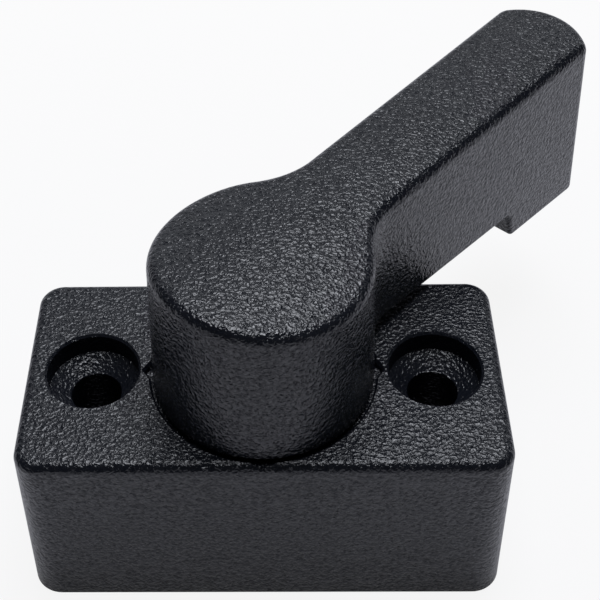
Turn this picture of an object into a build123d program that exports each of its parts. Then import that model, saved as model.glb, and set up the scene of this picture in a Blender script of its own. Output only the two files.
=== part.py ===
from build123d import *
import math
import os

# Turn-lever door latch: a cast block that screws to the door frame, with a spring-loaded lever on top.
# Millimetres. Origin on the mounting face, on the lever's turning axis. X runs along the block, Z up.

# Base block, sizes at its top face
BASE_LENGTH = 50.0
BASE_DEPTH = 25.3
BASE_HEIGHT = 22.0
BASE_DRAFT = 1.5
BASE_CORNER_RADIUS = 2.6
BASE_TOP_FILLET = 1.0

# Screw holes through the base
HOLE_SPACING = 36.0
SCREW_HOLE_DIAMETER = 5.4
COUNTERBORE_DIAMETER = 9.7
COUNTERBORE_DEPTH = 2.6
RIM_CHAMFER = 0.25

# Seat under the hub, with a pointed notch at each of the four clicks
SEAT_DEPTH = 0.8
HUB_CLEARANCE = 0.2
CLICK_COUNT = 4
NOTCH_REACH = 12.6
NOTCH_ANGLE = 112.0
NOTCH_DRAFT = 12.0
NOTCH_RIM_DRAFT = 45.0
NOTCH_ROOT = 9.0

# Click grooves in the seat's floor and the ridges under the hub that ride over them
RIDGE_HEIGHT = 0.95
RIDGE_CREST = 0.9
RIDGE_FLANK = 45.0
RIDGE_INNER_RADIUS = 5.0
RIDGE_OUTER_RADIUS = 10.6
GROOVE_DEPTH = 0.8
GROOVE_CLEARANCE = 0.1

# Spring pocket and cored corners under the base
WEB_THICKNESS = 5.0
SPRING_POCKET_DIAMETER = 15.0
SPRING_POCKET_WALL = 2.4
CORE_WALL = 3.0
CORE_ROOF = 5.5
CORE_RADIUS = 1.5
CORE_FLAT = 0.5
CORE_DRAFT = 1.0
SCREW_BOSS_WIDTH = 10.6

# Lever, sizes at the level of its crest, with the arm's stations measured from the turning axis
LEVER_ANGLE = 48.35
LEVER_DRAFT = 2.0
HUB_TOP_RADIUS = 11.0
HUB_HEIGHT = 17.55
ARM_REACH = 52.0
ARM_ROOT_HALF_WIDTH = 5.22
ARM_FLARE = 0.75
NECK_RADIUS = 8.0
TIP_RADIUS = 7.55
TIP_DRAFT = 3.7
TIP_CORNER_RADIUS = 1.8
CROWN_RADIUS = 45.0
LEVER_TOP_FILLET = 1.2

# Arm underside and the lip that hooks down at its end
UNDERSIDE_STATION = 12.0
UNDERSIDE_GAP = 1.95
UNDERSIDE_SLOPE = 4.5
LIP_STATION = 36.3
LIP_DEPTH = 3.8
LIP_FACE_SLOPE = 15.0
LIP_ROOT_RADIUS = 0.8
LOWER_EDGE_FILLET = 0.5

# Pivot stud
STUD_DIAMETER = 6.0
STUD_ENGAGEMENT = 12.0
STUD_PROTRUSION = 0.4
STUD_CHAMFER = 0.5
STUD_RELIEF_WIDTH = 1.2
STUD_RELIEF_DEPTH = 0.6
BORE_CLEARANCE = 0.05
THREAD_CLEARANCE = 0.01
BORE_SPARE_DEPTH = 1.0
DRILL_POINT_ANGLE = 118.0

# Spring, washer and lock nut on the stud
SPRING_LENGTH = 7.7
SPRING_MEAN_DIAMETER = 10.2
SPRING_WIRE = 1.3
SPRING_TURNS = 3.5
SPRING_WIRE_SIDES = 8
WASHER_DIAMETER = 12.0
WASHER_BORE = 6.4
WASHER_THICKNESS = 1.6
WASHER_CHAMFER = 0.25
NUT_ACROSS_FLATS = 10.0
NUT_HEX_HEIGHT = 4.0
NUT_CHAMFER_ANGLE = 30.0
COLLAR_HEIGHT = 2.0
COLLAR_DIAMETER = 9.4
COLLAR_LIP = 0.4
RING_DIAMETER = 8.0
RING_HEIGHT = 1.4

# Levels that follow from the sizes above
SEAT_LEVEL = BASE_HEIGHT - SEAT_DEPTH
WEB_LEVEL = SEAT_LEVEL - WEB_THICKNESS
FOOT_LEVEL = SEAT_LEVEL + RIDGE_HEIGHT
LEVER_TOP = FOOT_LEVEL + HUB_HEIGHT
WASHER_TOP = WEB_LEVEL - SPRING_LENGTH
NUT_TOP = WASHER_TOP - WASHER_THICKNESS
COLLAR_TOP = NUT_TOP - NUT_HEX_HEIGHT
NUT_BOTTOM = COLLAR_TOP - COLLAR_HEIGHT
STUD_BOTTOM = NUT_BOTTOM - STUD_PROTRUSION
STUD_TOP = FOOT_LEVEL + STUD_ENGAGEMENT

# Widths that follow from the sizes above
FULL_TURN = 360.0
BASE_SPREAD = BASE_HEIGHT * math.tan(math.radians(BASE_DRAFT))
HUB_FOOT_RADIUS = HUB_TOP_RADIUS + HUB_HEIGHT * math.tan(math.radians(LEVER_DRAFT))
SEAT_RADIUS = HUB_FOOT_RADIUS + HUB_CLEARANCE
LIP_RUN = LIP_DEPTH * math.tan(math.radians(LIP_FACE_SLOPE))
SCREW_STATIONS = (-HOLE_SPACING / 2, HOLE_SPACING / 2)
STUD_RADIUS = STUD_DIAMETER / 2
THREAD_RADIUS = STUD_RADIUS + THREAD_CLEARANCE

# Cutters reach this far past the faces that they open
CUT_MARGIN = 2.0


def revolved(outline: Wire) -> Part:
    """Solid of revolution about Z of a closed outline of radius and height."""
    return revolve(Plane.XZ * make_face(outline), axis=Axis.Z, revolution_arc=FULL_TURN)


def underside_level(station: float) -> float:
    """Height of the arm's sloping underside at a distance along the arm."""
    drop = (station - UNDERSIDE_STATION) * math.tan(math.radians(UNDERSIDE_SLOPE))
    return BASE_HEIGHT + UNDERSIDE_GAP - drop


def screw_hole() -> Part:
    """Through hole and drilled counterbore for one screw, with a chamfered rim at the top face."""
    bore = COUNTERBORE_DIAMETER / 2
    hole = SCREW_HOLE_DIAMETER / 2
    floor = BASE_HEIGHT - COUNTERBORE_DEPTH
    mouth = floor - (bore - hole) / math.tan(math.radians(DRILL_POINT_ANGLE / 2))
    above = BASE_HEIGHT + CUT_MARGIN
    return revolved(
        Polyline(
            (0, above),
            (0, -CUT_MARGIN),
            (hole, -CUT_MARGIN),
            (hole, mouth),
            (bore, floor),
            (bore, BASE_HEIGHT - RIM_CHAMFER),
            (bore + RIM_CHAMFER, BASE_HEIGHT),
            (bore + RIM_CHAMFER, above),
            close=True,
        )
    )


def hub_seat() -> Part:
    """Shallow round seat for the hub, with a chamfered rim."""
    above = BASE_HEIGHT + CUT_MARGIN
    return revolved(
        Polyline(
            (0, SEAT_LEVEL),
            (SEAT_RADIUS, SEAT_LEVEL),
            (SEAT_RADIUS, BASE_HEIGHT - RIM_CHAMFER),
            (SEAT_RADIUS + RIM_CHAMFER, BASE_HEIGHT),
            (SEAT_RADIUS + RIM_CHAMFER, above),
            (0, above),
            close=True,
        )
    )


def click_notch(reach: float, draft: float) -> Part:
    """Pointed notch along +X in the seat's rim, with walls that lean outward from the seat's level."""
    half_mouth = (reach - NOTCH_ROOT) * math.tan(math.radians(NOTCH_ANGLE / 2))
    point = Polyline((NOTCH_ROOT, half_mouth), (reach, 0), (NOTCH_ROOT, -half_mouth), close=True)
    lean = math.radians(draft)
    inset = SEAT_DEPTH * math.tan(lean)
    length = (SEAT_DEPTH + CUT_MARGIN) / math.cos(lean)
    climb = (math.sin(lean), 0, math.cos(lean))
    return extrude(Pos(-inset, 0, SEAT_LEVEL) * make_face(point), amount=length, dir=climb)


def click_ridge(crest: float, height: float, inner: float, outer: float) -> Part:
    """Ridge along +X with sloping flanks, its root at z = 0 and its flat crest below."""
    root = crest + 2 * height * math.tan(math.radians(RIDGE_FLANK))
    half_root = root / 2
    half_crest = crest / 2
    section = Polyline(
        (-half_root, 0), (half_root, 0), (half_crest, -height), (-half_crest, -height), close=True
    )
    return extrude(Plane.YZ.offset(inner) * make_face(section), amount=outer - inner)


def click_pattern(shape: Part) -> list[Part]:
    """The shape repeated once for each click round the turning axis."""
    return [Rot(0, 0, click * FULL_TURN / CLICK_COUNT) * shape for click in range(CLICK_COUNT)]


def corner_cores() -> list[Part]:
    """Four drafted pockets under the base, between the spring pocket, the screw bosses and the walls."""
    inner_end = SPRING_POCKET_DIAMETER / 2 + SPRING_POCKET_WALL
    outer_end = BASE_LENGTH / 2 + BASE_SPREAD - CORE_WALL
    inner_side = SCREW_BOSS_WIDTH / 2
    outer_side = BASE_DEPTH / 2 + BASE_SPREAD - CORE_WALL
    length = outer_end - inner_end
    width = outer_side - inner_side
    radius = min(CORE_RADIUS, (min(length, width) - CORE_FLAT) / 2)
    core = extrude(RectangleRounded(length, width, radius), amount=BASE_HEIGHT - CORE_ROOF, taper=CORE_DRAFT)
    middle_x = (inner_end + outer_end) / 2
    middle_y = (inner_side + outer_side) / 2
    return [Pos(x, y, 0) * core for x in (-middle_x, middle_x) for y in (-middle_y, middle_y)]


def make_base() -> Part:
    """Cast block with screw holes, hub seat, click grooves, stepped pivot bore and cored corners."""
    foot = RectangleRounded(
        BASE_LENGTH + 2 * BASE_SPREAD, BASE_DEPTH + 2 * BASE_SPREAD, BASE_CORNER_RADIUS + BASE_SPREAD
    )
    block = extrude(foot, amount=BASE_HEIGHT, taper=BASE_DRAFT)
    block = fillet(block.faces().sort_by(Axis.Z)[-1].edges(), BASE_TOP_FILLET)
    groove_end = RIDGE_OUTER_RADIUS + GROOVE_CLEARANCE
    groove = click_ridge(RIDGE_CREST + 2 * GROOVE_CLEARANCE, GROOVE_DEPTH, 0, groove_end)
    block -= [Pos(x, 0, 0) * screw_hole() for x in SCREW_STATIONS]
    block -= hub_seat()
    block -= click_pattern(click_notch(NOTCH_REACH, NOTCH_DRAFT))
    block -= click_pattern(click_notch(NOTCH_REACH + RIM_CHAMFER, NOTCH_RIM_DRAFT))
    block -= [Pos(0, 0, SEAT_LEVEL) * cut for cut in click_pattern(groove)]
    block -= extrude(Circle(SPRING_POCKET_DIAMETER / 2), amount=WEB_LEVEL)
    block -= extrude(Circle(STUD_RADIUS + BORE_CLEARANCE), amount=BASE_HEIGHT)
    return block - corner_cores()


def lever_outline(spread: float) -> Sketch:
    """Outline of hub and arm from above, grown by the spread of the draft, with a plain end past the tip."""
    flare = math.tan(math.radians(ARM_FLARE))
    far = ARM_REACH + HUB_TOP_RADIUS
    half_root = ARM_ROOT_HALF_WIDTH + spread * math.hypot(1, flare)
    half_end = half_root + flare * far
    arm = make_face(Polyline((0, -half_root), (far, -half_end), (far, half_end), (0, half_root), close=True))
    outline = Circle(HUB_TOP_RADIUS + spread) + arm
    return fillet(outline.vertices().sort_by(Axis.X)[:2], NECK_RADIUS - spread)


def beyond_tip(lowest: float) -> Part:
    """Space past the arm's rounded tip, whose end face has its own draft."""
    centre = ARM_REACH - TIP_RADIUS
    height = LEVER_TOP - lowest
    spread = height * math.tan(math.radians(TIP_DRAFT))
    reach = ARM_REACH + HUB_TOP_RADIUS
    block = Pos(centre + reach / 2, 0, lowest) * Rectangle(reach, reach)
    tip = Pos(centre, 0, lowest) * Circle(TIP_RADIUS + spread)
    tall = height + CUT_MARGIN
    return extrude(block, amount=tall) - extrude(tip, amount=tall, taper=TIP_DRAFT)


def arm_relief() -> Part:
    """Space below the arm and its lip, clear of the hub."""
    lip_end = LIP_STATION + LIP_RUN
    far = ARM_REACH + HUB_TOP_RADIUS
    deep = -BASE_HEIGHT
    side = Polyline(
        (0, deep),
        (0, underside_level(0)),
        (LIP_STATION, underside_level(LIP_STATION)),
        (lip_end, underside_level(lip_end) - LIP_DEPTH),
        (far, underside_level(far) - LIP_DEPTH),
        (far, deep),
        close=True,
    )
    space = extrude(Plane.XZ * make_face(side), amount=ARM_REACH, both=True)
    lip_root = (LIP_STATION, 0, underside_level(LIP_STATION))
    space = fillet(space.edges().filter_by(Axis.Y).sort_by_distance(lip_root)[0], LIP_ROOT_RADIUS)
    return space - extrude(Circle(HUB_FOOT_RADIUS), amount=LEVER_TOP)


def stud_bore() -> Part:
    """Blind threaded bore in the hub with its drill point."""
    end = STUD_TOP + BORE_SPARE_DEPTH
    point = end + THREAD_RADIUS / math.tan(math.radians(DRILL_POINT_ANGLE / 2))
    start = FOOT_LEVEL - CUT_MARGIN
    return revolved(
        Polyline((0, start), (THREAD_RADIUS, start), (THREAD_RADIUS, end), (0, point), close=True)
    )


def lever_block() -> Part:
    """Drafted block of hub and arm with its rounded tip and crowned top."""
    lowest = underside_level(ARM_REACH + HUB_TOP_RADIUS) - LIP_DEPTH
    height = LEVER_TOP - lowest
    spread = height * math.tan(math.radians(LEVER_DRAFT))
    outline = Pos(0, 0, lowest) * lever_outline(spread)
    casting = extrude(outline, amount=height + CUT_MARGIN, taper=LEVER_DRAFT)
    casting -= beyond_tip(lowest)
    corners = [edge for edge in casting.edges() if edge.center().X > ARM_REACH - TIP_RADIUS]
    casting = fillet([edge for edge in corners if edge.bounding_box().size.Z > height], TIP_CORNER_RADIUS)
    crown = Rot(0, FULL_TURN / 4, 0) * Cylinder(CROWN_RADIUS, 2 * (ARM_REACH + HUB_TOP_RADIUS))
    casting &= Pos(0, 0, LEVER_TOP - CROWN_RADIUS) * crown
    return fillet(casting.faces().sort_by(Axis.Z)[-1].edges(), LEVER_TOP_FILLET)


def make_lever() -> Part:
    """Hub, arm and hooked lip as one casting, with click ridges and a stud bore under the hub."""
    casting = lever_block() - arm_relief()
    casting -= extrude(Circle(HUB_FOOT_RADIUS + CUT_MARGIN), amount=FOOT_LEVEL)
    middle = LIP_STATION + LIP_RUN / 2
    lip_face = casting.faces().sort_by_distance((middle, 0, underside_level(middle) - LIP_DEPTH / 2))[0]
    lip_sides = [edge for edge in lip_face.edges() if abs(edge.center().Y) > ARM_ROOT_HALF_WIDTH / 2]
    lip_rim = casting.faces().sort_by(Axis.Z)[0].edges()
    casting = fillet([*lip_sides, *lip_rim], LOWER_EDGE_FILLET)
    ridge = click_ridge(RIDGE_CREST, RIDGE_HEIGHT, RIDGE_INNER_RADIUS, RIDGE_OUTER_RADIUS)
    casting += [Pos(0, 0, FOOT_LEVEL) * copy for copy in click_pattern(ridge)]
    casting -= stud_bore()
    return Rot(0, 0, LEVER_ANGLE) * casting


def make_pivot_stud() -> Part:
    """Stud with chamfered ends and a thread relief below the hub."""
    waist = STUD_RADIUS - STUD_RELIEF_DEPTH
    relief_bottom = FOOT_LEVEL - STUD_RELIEF_WIDTH
    return revolved(
        Polyline(
            (0, STUD_BOTTOM),
            (STUD_RADIUS - STUD_CHAMFER, STUD_BOTTOM),
            (STUD_RADIUS, STUD_BOTTOM + STUD_CHAMFER),
            (STUD_RADIUS, relief_bottom),
            (waist, relief_bottom),
            (waist, FOOT_LEVEL),
            (STUD_RADIUS, FOOT_LEVEL),
            (STUD_RADIUS, STUD_TOP - STUD_CHAMFER),
            (STUD_RADIUS - STUD_CHAMFER, STUD_TOP),
            (0, STUD_TOP),
            close=True,
        )
    )


def make_detent_spring() -> Part:
    """Compression spring with ground ends, between the washer and the base's web."""
    radius = SPRING_MEAN_DIAMETER / 2
    coil = Helix(pitch=SPRING_LENGTH / SPRING_TURNS, height=SPRING_LENGTH, radius=radius)
    section = RegularPolygon(SPRING_WIRE / 2, side_count=SPRING_WIRE_SIDES)
    wire = sweep(Plane(coil @ 0, z_dir=coil % 0) * section, path=coil)
    room = extrude(Circle(radius + SPRING_WIRE), amount=SPRING_LENGTH)
    return Pos(0, 0, WASHER_TOP) * (wire & room)


def make_spring_washer() -> Part:
    """Flat washer that carries the spring."""
    ring = extrude(Circle(WASHER_DIAMETER / 2) - Circle(WASHER_BORE / 2), amount=WASHER_THICKNESS)
    rim = ring.edges().filter_by(GeomType.CIRCLE).group_by(SortBy.RADIUS)[-1]
    return Pos(0, 0, NUT_TOP) * chamfer(rim, WASHER_CHAMFER)


def make_lock_nut() -> Part:
    """Hexagon nut with a round collar that holds the locking ring."""
    corner = NUT_ACROSS_FLATS / math.sqrt(3)
    flat = NUT_ACROSS_FLATS / 2
    fall = (corner - flat) * math.tan(math.radians(NUT_CHAMFER_ANGLE))
    hexagon = extrude(
        Pos(0, 0, COLLAR_TOP) * RegularPolygon(flat, side_count=6, major_radius=False), amount=NUT_HEX_HEIGHT
    )
    hexagon &= revolved(
        Polyline(
            (0, COLLAR_TOP),
            (flat, COLLAR_TOP),
            (corner, COLLAR_TOP + fall),
            (corner, NUT_TOP - fall),
            (flat, NUT_TOP),
            (0, NUT_TOP),
            close=True,
        )
    )
    nut = hexagon + extrude(Pos(0, 0, NUT_BOTTOM) * Circle(COLLAR_DIAMETER / 2), amount=COLLAR_HEIGHT)
    mouth = RING_DIAMETER / 2 - COLLAR_LIP
    nut -= extrude(Pos(0, 0, NUT_BOTTOM) * Circle(mouth), amount=COLLAR_HEIGHT)
    nut -= extrude(Pos(0, 0, COLLAR_TOP - RING_HEIGHT) * Circle(RING_DIAMETER / 2), amount=RING_HEIGHT)
    return nut - extrude(Pos(0, 0, COLLAR_TOP) * Circle(THREAD_RADIUS), amount=NUT_HEX_HEIGHT)


def make_lock_nut_ring() -> Part:
    """Nylon ring in the nut's collar that grips the stud."""
    ring = Circle(RING_DIAMETER / 2) - Circle(THREAD_RADIUS)
    return extrude(Pos(0, 0, COLLAR_TOP - RING_HEIGHT) * ring, amount=RING_HEIGHT)


def main() -> None:
    """Write each piece of the latch to its own file."""
    pieces = {
        "base": make_base,
        "lever": make_lever,
        "pivot_stud": make_pivot_stud,
        "detent_spring": make_detent_spring,
        "spring_washer": make_spring_washer,
        "lock_nut": make_lock_nut,
        "lock_nut_ring": make_lock_nut_ring,
    }
    os.makedirs("parts", exist_ok=True)
    for name, make in pieces.items():
        export_step(make(), f"parts/{name}.step")


main()
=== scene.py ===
"""Looks of the turn-lever door latch: finishes, threaded stud, coiled spring, studio and camera."""

import logging
import math
from abc import ABC, abstractmethod
from dataclasses import dataclass, field
from enum import Enum
from typing import Any

import bmesh
import bpy
import numpy as np
from mathutils import Matrix, Vector


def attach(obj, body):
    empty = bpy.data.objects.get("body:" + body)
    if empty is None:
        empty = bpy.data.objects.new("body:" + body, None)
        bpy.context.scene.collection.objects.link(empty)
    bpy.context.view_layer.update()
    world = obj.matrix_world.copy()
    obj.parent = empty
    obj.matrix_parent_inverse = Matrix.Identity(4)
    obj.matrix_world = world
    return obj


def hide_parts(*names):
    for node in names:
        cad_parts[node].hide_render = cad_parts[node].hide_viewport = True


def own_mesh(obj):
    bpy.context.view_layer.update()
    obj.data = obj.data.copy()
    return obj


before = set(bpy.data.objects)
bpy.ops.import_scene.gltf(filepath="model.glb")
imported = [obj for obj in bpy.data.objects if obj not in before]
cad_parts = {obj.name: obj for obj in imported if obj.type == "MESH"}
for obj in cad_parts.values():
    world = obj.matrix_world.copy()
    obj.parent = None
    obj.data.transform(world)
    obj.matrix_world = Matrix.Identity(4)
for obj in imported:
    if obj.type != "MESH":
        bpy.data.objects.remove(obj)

Colour = tuple[float, float, float]
Point = tuple[float, float, float]
Span = tuple[float, float]
Socket = bpy.types.NodeSocket

LOG = logging.getLogger("latch")
MM = 0.001
WHITE = (1.0, 1.0, 1.0, 1.0)
NOISE_MIDDLE = (0.3, 0.7)
MERGE_DISTANCE = 1e-8
SHARP_EDGE = math.radians(32)


class Body(Enum):
    """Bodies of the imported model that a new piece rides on."""

    BASE = "base"
    LEVER = "lever"


class Slot(Enum):
    """Names of the record's material slots."""

    ZINC_PLATE = "zinc_plated_steel"
    SPRING_STEEL = "spring_steel"


class NodeGraph:
    """Node tree of one material or world, with short calls to add and join nodes."""

    def __init__(self, owner: bpy.types.Material | bpy.types.World) -> None:
        """Start an empty tree.

        Args:
            owner: Material or world whose tree is built.
        """
        owner.use_nodes = True
        self.owner = owner
        self.tree = owner.node_tree
        self.tree.nodes.clear()

    def add(self, kind: str, sockets: dict[str, Any], **settings: Any) -> bpy.types.Node:
        """Add a node, set its options and fill or join its inputs.

        Args:
            kind: Blender's name for the node type.
            sockets: Value or output socket for each input, by name or number.
            settings: Options of the node itself.

        Returns:
            The new node.
        """
        node = self.tree.nodes.new(kind)
        for option, value in settings.items():
            setattr(node, option, value)
        for name, value in sockets.items():
            socket = node.inputs[int(name)] if name.isdigit() else node.inputs[name]
            if isinstance(value, Socket):
                self.tree.links.new(value, socket)
            else:
                socket.default_value = value
        return node

    def math(self, operation: str, *terms: Socket | float) -> Socket:
        """Work out a value.

        Args:
            operation: Blender's name for the operation.
            terms: Sockets or numbers that it works on.

        Returns:
            The value.
        """
        sockets = {str(index): term for index, term in enumerate(terms)}
        return self.add("ShaderNodeMath", sockets, operation=operation).outputs["Value"]

    def vector_math(self, operation: str, *terms: Socket | Point) -> Socket:
        """Work out a vector.

        Args:
            operation: Blender's name for the operation.
            terms: Sockets or vectors that it works on.

        Returns:
            The vector.
        """
        sockets = {str(index): term for index, term in enumerate(terms)}
        return self.add("ShaderNodeVectorMath", sockets, operation=operation).outputs["Vector"]

    def place(self) -> Socket:
        """Object coordinates, in metres."""
        return self.add("ShaderNodeTexCoord", {}).outputs["Object"]

    def noise(self, place: Socket, waves: float, detail: float, distortion: float = 0.0) -> Socket:
        """Add a noise pattern.

        Args:
            place: Coordinates that the pattern follows.
            waves: Waves to the unit of those coordinates.
            detail: Number of finer layers.
            distortion: How far the pattern wrinkles.

        Returns:
            The pattern's height, from 0 to 1.
        """
        sockets = {"Vector": place, "Scale": waves, "Detail": detail, "Distortion": distortion}
        return self.add("ShaderNodeTexNoise", sockets).outputs["Fac"]

    def tones(self, height: Socket, low: Colour, high: Colour, span: Span = NOISE_MIDDLE) -> Socket:
        """Colour a height between two tones.

        Args:
            height: Height from 0 to 1.
            low: Linear colour of the hollows.
            high: Linear colour of the crests.
            span: Heights at which the two tones are reached.

        Returns:
            The colour.
        """
        node = self.add("ShaderNodeValToRGB", {"Fac": height})
        for element, position, colour in zip(node.color_ramp.elements, span, (low, high)):
            element.position = position
            element.color = (*colour, 1.0)
        return node.outputs["Color"]

    def spread(self, height: Socket, low: float, high: float, span: Span = NOISE_MIDDLE) -> Socket:
        """Map a height to a range of values.

        Args:
            height: Height that is mapped.
            low: Value at the start of the span and below it.
            high: Value at the end of the span and above it.
            span: Heights at which the two values are reached.

        Returns:
            The mapped value.
        """
        start, end = span
        sockets = {"Value": height, "From Min": start, "From Max": end, "To Min": low, "To Max": high}
        return self.add("ShaderNodeMapRange", sockets).outputs["Result"]

    def bump(self, height: Socket, depth: float) -> Socket:
        """Turn a height into a shading normal, with depth in metres for a height of 1."""
        sockets = {"Height": height, "Strength": 1.0, "Distance": depth}
        return self.add("ShaderNodeBump", sockets).outputs["Normal"]

    def white_to_camera(self, plain: Socket, white: Socket, seen: Socket | float, reflected: float) -> Socket:
        """Mix white into a plain shader for the camera and for reflections.

        Args:
            plain: Shader that lights and shadows meet.
            white: White shader.
            seen: Share of white for the camera.
            reflected: Share of white in reflections and through clear things.

        Returns:
            The mixed shader.
        """
        path = self.add("ShaderNodeLightPath", {}).outputs
        bounced = self.math("MAXIMUM", path["Is Glossy Ray"], path["Is Transmission Ray"])
        dimmed = self.math("MULTIPLY", bounced, reflected)
        share = self.math("MULTIPLY_ADD", path["Is Camera Ray"], seen, dimmed)
        return self.add("ShaderNodeMixShader", {"0": share, "1": plain, "2": white}).outputs["Shader"]

    def close(self, shader: Socket) -> bpy.types.Material | bpy.types.World:
        """Join a shader to the output.

        Args:
            shader: Shader of the surface or the room.

        Returns:
            The tree's owner.
        """
        is_world = isinstance(self.owner, bpy.types.World)
        self.add("ShaderNodeOutputWorld" if is_world else "ShaderNodeOutputMaterial", {"Surface": shader})
        return self.owner

    def close_principled(self, sockets: dict[str, Any]) -> bpy.types.Material:
        """Close the tree with a principled shader that has these inputs."""
        return self.close(self.add("ShaderNodeBsdfPrincipled", sockets).outputs["BSDF"])


class Finish(ABC):
    """A finish that can make its material."""

    @abstractmethod
    def material(self) -> bpy.types.Material:
        """Make the finish's material."""


@dataclass(frozen=True)
class PowderCoat(Finish):
    """Black satin powder coat with a fine leathery grain, glossier on the crests than in the hollows, and
    with a lower specular level in the hollows that is painted shade.
    """

    name: str = "black_powder_coat"
    dark: Colour = (0.0060, 0.0072, 0.0115)
    pale: Colour = (0.0100, 0.0115, 0.0165)
    tone_waves: float = 240.0
    roughness_low: float = 0.09
    roughness_high: float = 0.18
    # Specular level in the grain's hollows, kept low as painted shade for the shade that falls in them.
    specular_low: float = 0.25
    specular_high: float = 0.76
    specular_tint: Colour = (0.96, 0.965, 1.0)
    grain_waves: float = 2550.0
    grain_wrinkle: float = 0.5
    grain_depth: float = 0.175 * MM
    fine_waves: float = 6200.0
    fine_share: float = 0.16

    def material(self) -> bpy.types.Material:
        """Make the coat: wrinkled noise for grain, gloss and the painted shade of the hollows, slow noise for
        tone.

        Returns:
            The coat's material.
        """
        graph = NodeGraph(bpy.data.materials.new(self.name))
        place = graph.place()
        grain = graph.noise(place, self.grain_waves, detail=1.0, distortion=self.grain_wrinkle)
        fine = graph.noise(place, self.fine_waves, detail=1.0)
        tone = graph.noise(place, self.tone_waves, detail=3.0)
        height = graph.math("MULTIPLY_ADD", fine, self.fine_share, grain)
        return graph.close_principled({
            "Base Color": graph.tones(tone, self.dark, self.pale),
            "Roughness": graph.spread(grain, self.roughness_high, self.roughness_low),
            # Specular level follows the grain and is low in the hollows: painted shade standing for the shade
            # that falls in them.
            "Specular IOR Level": graph.spread(grain, self.specular_low, self.specular_high),
            "Specular Tint": (*self.specular_tint, 1.0),
            "Normal": graph.bump(height, self.grain_depth),
        })


@dataclass(frozen=True)
class ZincPlate(Finish):
    """Bright zinc plating with a faint bluish and yellowish bloom."""

    name: str = "bright_zinc_plate"
    cool: Colour = (0.52, 0.55, 0.60)
    warm: Colour = (0.62, 0.60, 0.54)
    bloom_waves: float = 420.0
    bloom_span: Span = (0.35, 0.65)
    roughness_low: float = 0.24
    roughness_high: float = 0.36
    scratch_waves: float = 9000.0
    scratch_depth: float = 0.004 * MM

    def material(self) -> bpy.types.Material:
        """Make the plating: slow noise for the bloom, fine noise for the etched surface.

        Returns:
            The plating's material.
        """
        graph = NodeGraph(bpy.data.materials.new(self.name))
        place = graph.place()
        bloom = graph.noise(place, self.bloom_waves, detail=3.0)
        scratch = graph.noise(place, self.scratch_waves, detail=2.0)
        return graph.close_principled({
            "Base Color": graph.tones(bloom, self.cool, self.warm, self.bloom_span),
            "Metallic": 1.0,
            "Roughness": graph.spread(bloom, self.roughness_low, self.roughness_high),
            "Normal": graph.bump(scratch, self.scratch_depth),
        })


@dataclass(frozen=True)
class DrawnWire(Finish):
    """Drawn spring steel with fine lines along the wire."""

    name: str = "drawn_spring_wire"
    chart: str = "wire"
    dark: Colour = (0.19, 0.19, 0.20)
    pale: Colour = (0.40, 0.40, 0.41)
    roughness_low: float = 0.30
    roughness_high: float = 0.44
    line_waves: Point = (28.0, 3.0, 1.0)
    line_depth: float = 0.006 * MM

    def material(self) -> bpy.types.Material:
        """Make the wire: noise stretched along the wire on the tube's own map.

        Returns:
            The wire's material.
        """
        graph = NodeGraph(bpy.data.materials.new(self.name))
        chart = graph.add("ShaderNodeUVMap", {}, uv_map=self.chart).outputs["UV"]
        stretched = graph.vector_math("MULTIPLY", chart, self.line_waves)
        lines = graph.noise(stretched, 1.0, detail=4.0)
        return graph.close_principled({
            "Base Color": graph.tones(lines, self.dark, self.pale),
            "Metallic": 1.0,
            "Roughness": graph.spread(lines, self.roughness_high, self.roughness_low),
            "Normal": graph.bump(lines, self.line_depth),
        })


@dataclass(frozen=True)
class NaturalNylon(Finish):
    """Milky nylon of the nut's locking ring."""

    name: str = "natural_nylon"
    dark: Colour = (0.56, 0.54, 0.47)
    pale: Colour = (0.70, 0.68, 0.61)
    cloud_waves: float = 700.0
    roughness_low: float = 0.42
    roughness_high: float = 0.56
    milk_share: float = 0.15
    milk_depth: float = 0.5 * MM
    grain_waves: float = 5000.0
    grain_depth: float = 0.008 * MM

    def material(self) -> bpy.types.Material:
        """Make the nylon: cloudy colour with a fine moulded grain.

        Returns:
            The nylon's material.
        """
        graph = NodeGraph(bpy.data.materials.new(self.name))
        place = graph.place()
        cloud = graph.noise(place, self.cloud_waves, detail=3.0)
        grain = graph.noise(place, self.grain_waves, detail=2.0)
        return graph.close_principled({
            "Base Color": graph.tones(cloud, self.dark, self.pale),
            "Roughness": graph.spread(grain, self.roughness_low, self.roughness_high),
            "Subsurface Weight": self.milk_share,
            "Subsurface Scale": self.milk_depth,
            "Normal": graph.bump(grain, self.grain_depth),
        })


def ring_corners(rows: int, columns: int) -> tuple[np.ndarray, np.ndarray]:
    """Number the corners of the faces of a grid that closes across its columns.

    Args:
        rows: Points along the grid.
        columns: Points across the grid.

    Returns:
        Row and column of each face's four corners, with one past the last column at the seam.
    """
    row, column = np.meshgrid(np.arange(rows - 1), np.arange(columns), indexing="ij")
    along = np.stack([row, row, row + 1, row + 1], axis=-1).reshape(-1, 4)
    across = np.stack([column, column + 1, column + 1, column], axis=-1).reshape(-1, 4)
    return along, across


def link_mesh(name: str, mesh: bpy.types.Mesh) -> bpy.types.Object:
    """Put a mesh into the scene as an object at the origin.

    Args:
        name: Name of the object.
        mesh: Its mesh.

    Returns:
        The new object.
    """
    piece = bpy.data.objects.new(name, mesh)
    bpy.context.scene.collection.objects.link(piece)
    return piece


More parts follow.
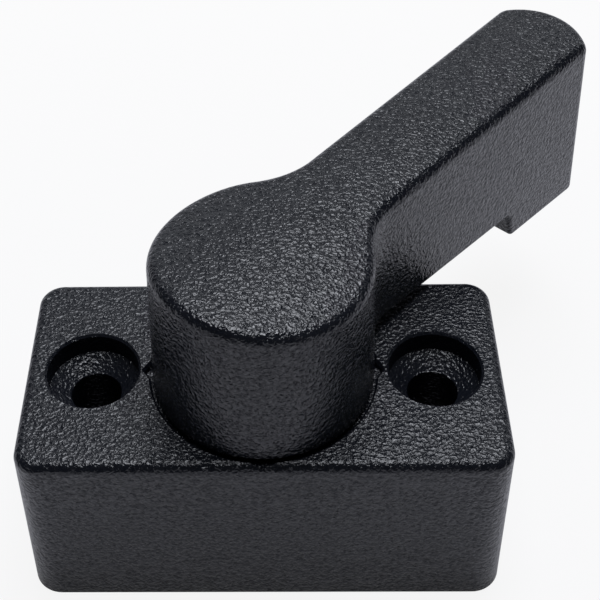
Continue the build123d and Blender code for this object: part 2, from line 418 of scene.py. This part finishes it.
def tube_object(name: str, points: np.ndarray, chart: str) -> bpy.types.Object:
    """Make a tube from a grid of points, closed across its columns and pinched shut at both ends.

    Args:
        name: Name of the object and its mesh.
        points: Rows by columns by 3 array of places in metres.
        chart: Name of the surface's own map, with the column share across and the row share along.

    Returns:
        The new object, linked to the scene.
    """
    ends = points[[0, -1]].mean(axis=1, keepdims=True)
    pinch = np.repeat(ends, points.shape[1], axis=1)
    grid = np.concatenate([pinch[:1], points, pinch[1:]])
    rows, columns = grid.shape[:2]
    along, across = ring_corners(rows, columns)
    mesh = bpy.data.meshes.new(name)
    mesh.from_pydata(grid.reshape(-1, 3), [], along * columns + across % columns)
    layer = mesh.uv_layers.new(name=chart)
    shares = np.stack([across / columns, along / (rows - 1)], axis=-1)
    layer.data.foreach_set("uv", shares.astype(np.float32).ravel())
    merged = bmesh.new()
    merged.from_mesh(mesh)
    bmesh.ops.remove_doubles(merged, verts=merged.verts, dist=MERGE_DISTANCE)
    bmesh.ops.recalc_face_normals(merged, faces=merged.faces)
    merged.to_mesh(mesh)
    merged.free()
    mesh.shade_smooth()
    mesh.set_sharp_from_angle(angle=SHARP_EDGE)
    return link_mesh(name, mesh)


def dress_node(name: str, material: bpy.types.Material) -> None:
    """Give a CAD node its material.

    Args:
        name: Name of the node.
        material: Material for all its faces.
    """
    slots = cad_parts[name].data.materials
    slots.clear()
    slots.append(material)
    LOG.info("%s dressed in %s", name, material.name)


@dataclass
class Castings:
    """Base block and lever, which keep their CAD shapes. The block's coat is duller than the lever's."""

    base_coat: PowderCoat = PowderCoat(
        name="dull_powder_coat",
        roughness_low=0.15,
        roughness_high=0.25,
        specular_high=0.68,
        grain_depth=0.165 * MM,
    )
    lever_coat: PowderCoat = PowderCoat()

    def dress(self) -> None:
        """Coat both castings."""
        dress_node("base", self.base_coat.material())
        dress_node("lever", self.lever_coat.material())


@dataclass
class ThreadedStud:
    """Pivot stud with its two threads, in millimetres, standing for the plain CAD stud."""

    name: str = "threaded_stud"
    radius: float = 3.0
    bottom: float = 0.5
    lower_thread_end: float = 9.2
    relief_bottom: float = 20.95
    relief_top: float = 22.15
    top: float = 34.15
    chamfer: float = 0.5
    relief_depth: float = 0.6
    pitch: float = 1.0
    thread_depth: float = 0.6
    crest_share: float = 0.2
    root_share: float = 0.2
    columns: int = 64
    rows_per_pitch: int = 14

    def outline(self) -> tuple[np.ndarray, np.ndarray]:
        """Work out the stud's outline from the bottom up, as straight runs between its corners.

        Returns:
            Heights and plain radii, with two points at each step of the radius.
        """
        waist = self.radius - self.relief_depth
        end = self.radius - self.chamfer
        corners = np.array([
            (self.bottom, end),
            (self.bottom + self.chamfer, self.radius),
            (self.relief_bottom, self.radius),
            (self.relief_bottom, waist),
            (self.relief_top, waist),
            (self.relief_top, self.radius),
            (self.top - self.chamfer, self.radius),
            (self.top, end),
        ])
        runs = np.diff(corners[:, 0])
        steps = np.maximum(1, np.ceil(runs / self.pitch * self.rows_per_pitch)).astype(int)
        travel = np.concatenate([[0], np.cumsum(steps)])
        at = np.arange(travel[-1] + 1)
        return np.interp(at, travel, corners[:, 0]), np.interp(at, travel, corners[:, 1])

    def build(self) -> bpy.types.Object:
        """Build the stud.

        The radius at a height and angle is the smaller of the outline's radius and the thread's. The thread's
        radius falls from the crest by the depth times a trapezoid wave of height over pitch less angle over a
        full turn. The wave fades out over one pitch where the lower thread ends.

        Returns:
            The stud's object.
        """
        height, plain = self.outline()
        angle = np.linspace(0, 2 * np.pi, self.columns, endpoint=False)
        turn = (height[:, None] / self.pitch - angle[None, :] / (2 * np.pi)) % 1.0
        wave = np.abs(2 * turn - 1)
        cut = np.clip((wave - self.crest_share) / (1 - self.crest_share - self.root_share), 0, 1)
        lower = np.clip((self.lower_thread_end - height) / self.pitch, 0, 1)
        upper = (height >= self.relief_top).astype(float)
        fade = np.maximum(lower, upper)[:, None]
        radius = np.minimum(plain[:, None], self.radius - self.thread_depth * cut * fade)
        rise = np.repeat(height[:, None], self.columns, axis=1)
        points = np.stack([radius * np.cos(angle), radius * np.sin(angle), rise], axis=-1)
        return tube_object(self.name, points * MM, "thread")

    def dress(self, piece: bpy.types.Object, plating: bpy.types.Material) -> None:
        """Plate the stud and put it in the CAD stud's place.

        Args:
            piece: The stud's object.
            plating: Material of the plating.
        """
        piece.data.materials.append(plating)
        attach(piece, Body.LEVER.value)
        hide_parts("pivot_stud")
        LOG.info("%s stands for the CAD stud", piece.name)


@dataclass
class CoilSpring:
    """Detent spring of round wire with ground ends, in millimetres, standing for the CAD spring."""

    name: str = "coil_spring"
    bottom: float = 8.5
    length: float = 7.7
    mean_radius: float = 5.1
    wire_radius: float = 0.65
    turns: float = 3.5
    lift: float = 1.5
    rows: int = 336
    columns: int = 28
    finish: DrawnWire = field(default_factory=DrawnWire)

    def build(self) -> bpy.types.Object:
        """Build the spring.

        The wire's centre runs round the axis on a helix, with height in proportion to the turn. Round it
        lies a circle across the run, from the outward direction and the direction square to that and to the
        run. Heights are held between the two ground ends.

        Returns:
            The spring's object.
        """
        share = np.linspace(0, 1, self.rows)[:, None]
        turn = 2 * np.pi * self.turns * share
        around = np.linspace(0, 2 * np.pi, self.columns, endpoint=False)[None, :]
        slope = self.length / (2 * np.pi * self.turns * self.mean_radius)
        rise = self.wire_radius * np.sin(around) / math.hypot(1, slope)
        back = slope * rise
        reach = self.mean_radius + self.wire_radius * np.cos(around)
        x = reach * np.cos(turn) + back * np.sin(turn)
        y = reach * np.sin(turn) - back * np.cos(turn)
        z = np.clip(self.length * share + rise, 0, self.length) + self.bottom
        return tube_object(self.name, np.stack([x, y, z], axis=-1) * MM, self.finish.chart)

    def dress(self, piece: bpy.types.Object) -> None:
        """Finish the spring and put it in the CAD spring's place.

        Args:
            piece: The spring's object.
        """
        piece.data.materials.append(self.finish.material())
        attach(piece, Body.BASE.value)
        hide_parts("detent_spring")
        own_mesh(piece)
        LOG.info("%s stands for the CAD spring", piece.name)


@dataclass
class NutStack:
    """Stud, washer, lock nut and its nylon ring under the spring."""

    plated_nodes: tuple[str, ...] = ("spring_washer", "lock_nut")
    nylon_nodes: tuple[str, ...] = ("lock_nut_ring",)
    stud: ThreadedStud = field(default_factory=ThreadedStud)
    plating: ZincPlate = field(default_factory=ZincPlate)
    nylon: NaturalNylon = field(default_factory=NaturalNylon)

    def dress(self) -> None:
        """Plate the steel pieces, make the threaded stud and finish the ring."""
        plating = self.plating.material()
        for name in self.plated_nodes:
            dress_node(name, plating)
        self.stud.dress(self.stud.build(), plating)
        nylon = self.nylon.material()
        for name in self.nylon_nodes:
            dress_node(name, nylon)


@dataclass(frozen=True)
class SoftPanel:
    """Flat soft lamp with its face turned to a point, in metres."""

    name: str
    place: Point
    aim: Point
    size: tuple[float, float]
    radiance: float
    colour: Colour = (0.94, 0.965, 1.0)

    def build(self) -> bpy.types.Object:
        """Build the lamp, with its power from the radiance of its face.

        Returns:
            The lamp's object.
        """
        width, height = self.size
        lamp = bpy.data.lights.new(self.name, "AREA")
        lamp.shape = "RECTANGLE"
        lamp.size = width
        lamp.size_y = height
        lamp.energy = self.radiance * math.pi * width * height
        lamp.color = self.colour
        holder = bpy.data.objects.new(self.name, lamp)
        away = np.array(self.place) - np.array(self.aim)
        away /= np.linalg.norm(away)
        side = np.cross((0.0, 0.0, 1.0), away)
        side /= np.linalg.norm(side)
        axes = np.eye(4)
        axes[:3, :3] = np.stack([side, np.cross(away, side), away], axis=1)
        axes[:3, 3] = self.place
        holder.matrix_world = Matrix(axes.tolist())
        bpy.context.scene.collection.objects.link(holder)
        LOG.info("%s ready", self.name)
        return holder


@dataclass
class Studio:
    """White floor, a softbox overhead, a wide panel behind and a dark room in front, in metres.

    The foot is half of the floor's patch under the latch, which gives no white, and the fade's reach is
    counted in feet.
    """

    floor_radius: float = 12.0
    floor_hub_share: float = 0.02
    floor_rings: int = 24
    floor_spokes: int = 72
    floor_gap: float = 0.05 * MM
    floor_colour: Colour = (0.79, 0.78, 0.86)
    floor_seen: float = 0.88
    floor_reflected: float = 0.2
    foot: tuple[float, float] = (0.0228, 0.0105)
    fade_reach: float = 30.0
    softbox: SoftPanel = SoftPanel("softbox", (0.03, 0.105, 0.49), (0.0, 0.0, 0.03), (0.27, 0.33), 6.6)
    panel: SoftPanel = SoftPanel("back_panel", (0.0, 0.60, 0.32), (0.0, 0.0, 0.10), (1.30, 0.50), 0.5)
    room_colour: Colour = (0.88, 0.94, 1.0)
    room_strength: float = 0.03
    room_reflected: float = 0.02

    def build_floor(self) -> bpy.types.Object:
        """Build the floor: a disc of rings and spokes, with radius growing as the square of the ring's share.

        Returns:
            The floor's object.
        """
        reach = self.floor_radius * np.linspace(self.floor_hub_share, 1, self.floor_rings)[:, None] ** 2
        angle = np.linspace(0, 2 * np.pi, self.floor_spokes, endpoint=False)[None, :]
        level = np.full((self.floor_rings, self.floor_spokes), -self.floor_gap)
        points = np.stack([reach * np.cos(angle), reach * np.sin(angle), level], axis=-1)
        along, across = ring_corners(self.floor_rings, self.floor_spokes)
        rings = (along * self.floor_spokes + across % self.floor_spokes)[:, ::-1]
        mesh = bpy.data.meshes.new("floor")
        mesh.from_pydata(points.reshape(-1, 3), [], [*rings.tolist(), list(range(self.floor_spokes))])
        mesh.materials.append(self.floor_material())
        floor = link_mesh("floor", mesh)
        return floor

    def floor_material(self) -> bpy.types.Material:
        """Make the floor's paper, which takes shadows and fades to white for the camera away from the latch.

        Returns:
            The paper's material.
        """
        graph = NodeGraph(bpy.data.materials.new("white_paper"))
        half_x, half_y = self.foot
        feet = graph.vector_math("MULTIPLY", graph.place(), (1 / half_x, 1 / half_y, 0.0))
        axes = graph.add("ShaderNodeSeparateXYZ", {"Vector": graph.vector_math("ABSOLUTE", feet)}).outputs
        reach = graph.math("MAXIMUM", axes["X"], axes["Y"])
        beyond = graph.math("GREATER_THAN", reach, 1.0)
        seen = graph.spread(reach, self.floor_seen, 1.0, (1.0, self.fade_reach))
        paper = graph.add("ShaderNodeBsdfDiffuse", {"Color": (*self.floor_colour, 1.0)}).outputs["BSDF"]
        white = graph.add("ShaderNodeEmission", {"Color": WHITE, "Strength": beyond}).outputs["Emission"]
        return graph.close(graph.white_to_camera(paper, white, seen, self.floor_reflected))

    def build_room(self) -> None:
        """Set the dark room, which is white to the camera."""
        world = bpy.data.worlds.new("room")
        graph = NodeGraph(world)
        walls = {"Color": (*self.room_colour, 1.0), "Strength": self.room_strength}
        dim = graph.add("ShaderNodeBackground", walls).outputs["Background"]
        white = graph.add("ShaderNodeBackground", {"Color": WHITE, "Strength": 1.0}).outputs["Background"]
        graph.close(graph.white_to_camera(dim, white, 1.0, self.room_reflected))
        bpy.context.scene.world = world

    def build(self) -> None:
        """Build floor, lamps and room, and set the plain view transform."""
        self.build_floor()
        self.softbox.build()
        self.panel.build()
        self.build_room()
        bpy.context.scene.view_settings.view_transform = "Standard"
        LOG.info("studio ready")


@dataclass(frozen=True)
class PhotoCamera:
    """Camera at the photograph's viewing angle, with lengths in millimetres and angles in degrees."""

    name: str = "photo_camera"
    frame_px: float = 600.0
    focal_px: float = 1263.39
    centre_px: tuple[float, float] = (250.33, 221.42)
    elevation: float = 43.41
    azimuth: float = -1.919
    roll: float = -1.844
    target: Point = (-2.057, 35.238, 10.0)
    distance: float = 166.69
    sensor: float = 36.0

    def axes(self) -> tuple[np.ndarray, np.ndarray, np.ndarray]:
        """Work out the camera's axes.

        Returns:
            Right, up and forward directions.
        """
        rise, swing, tilt = np.radians([self.elevation, self.azimuth, self.roll])
        forward = np.array([np.sin(swing) * np.cos(rise), np.cos(swing) * np.cos(rise), -np.sin(rise)])
        level = np.array([np.cos(swing), -np.sin(swing), 0.0])
        upright = np.cross(level, forward)
        right = np.cos(tilt) * level + np.sin(tilt) * upright
        return right, np.cos(tilt) * upright - np.sin(tilt) * level, forward

    def build(self) -> bpy.types.Object:
        """Build the camera and make it the scene's own.

        Returns:
            The camera's object.
        """
        right, up, forward = self.axes()
        lens = bpy.data.cameras.new(self.name)
        lens.sensor_width = self.sensor
        lens.lens = self.sensor * self.focal_px / self.frame_px
        lens.shift_x = 0.5 - self.centre_px[0] / self.frame_px
        lens.shift_y = self.centre_px[1] / self.frame_px - 0.5
        lens.clip_start = MM
        camera = bpy.data.objects.new(self.name, lens)
        axes = np.eye(4)
        axes[:3, :3] = np.stack([right, up, -forward], axis=1)
        axes[:3, 3] = (np.array(self.target) - self.distance * forward) * MM
        camera.matrix_world = Matrix(axes.tolist())
        bpy.context.scene.collection.objects.link(camera)
        bpy.context.scene.camera = camera
        LOG.info("camera ready")
        return camera


def main() -> None:
    """Build the studio and camera, then dress each piece of the latch."""
    logging.basicConfig(level=logging.INFO)
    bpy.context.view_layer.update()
    PhotoCamera().build()
    Studio().build()
    Castings().dress()
    NutStack().dress()
    spring = CoilSpring()
    spring.dress(spring.build())


if __name__ == "__main__":
    main()
